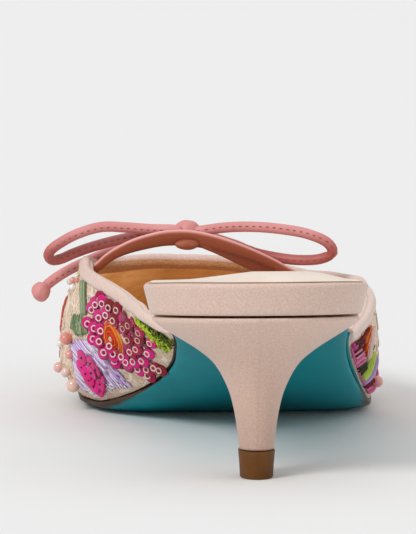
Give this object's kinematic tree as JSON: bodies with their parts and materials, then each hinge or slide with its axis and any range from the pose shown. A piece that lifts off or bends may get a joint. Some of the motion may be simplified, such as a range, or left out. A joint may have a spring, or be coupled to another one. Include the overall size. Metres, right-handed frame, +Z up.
{
  "type": "kitten heel mule",
  "caption": "Backless pointed mule with a low curved heel, an open throat, a bound topline and a bow of round lace tied across the instep.",
  "frame": {"origin": "middle of the shoe's bounding box in plan, on the floor", "axes": "+Y runs from the heel to the toe, +Z is up, +X points to the little toe side"},
  "size_m": [0.0915, 0.2454, 0.0523],
  "materials": {
    "outsole_leather": "smooth dyed leather with a low gloss",
    "seat_satin": "satin wrapped round the footbed's edge",
    "sock_leather": "soft matt leather",
    "heel_satin": "satin covering",
    "top_piece": "matt hard rubber",
    "embroidered_mesh": "lace mesh with thread, sequins and beads",
    "binding_satin": "folded satin",
    "tie": "soft stitched round lace"
  },
  "bodies": {
    "root": {"outsole": "outsole_leather", "footbed": "seat_satin", "sock": "sock_leather", "heel": "heel_satin", "top_piece": "top_piece", "upper": "embroidered_mesh", "topline_binding": "binding_satin", "tie_bar": "tie", "bow_knot": "tie", "bow_loop_left": "tie", "bow_loop_right": "tie", "bow_tail_left": "tie", "bow_tail_right": "tie", "tail_ball_left": "tie", "tail_ball_right": "tie"}
  },
  "joints": []
}
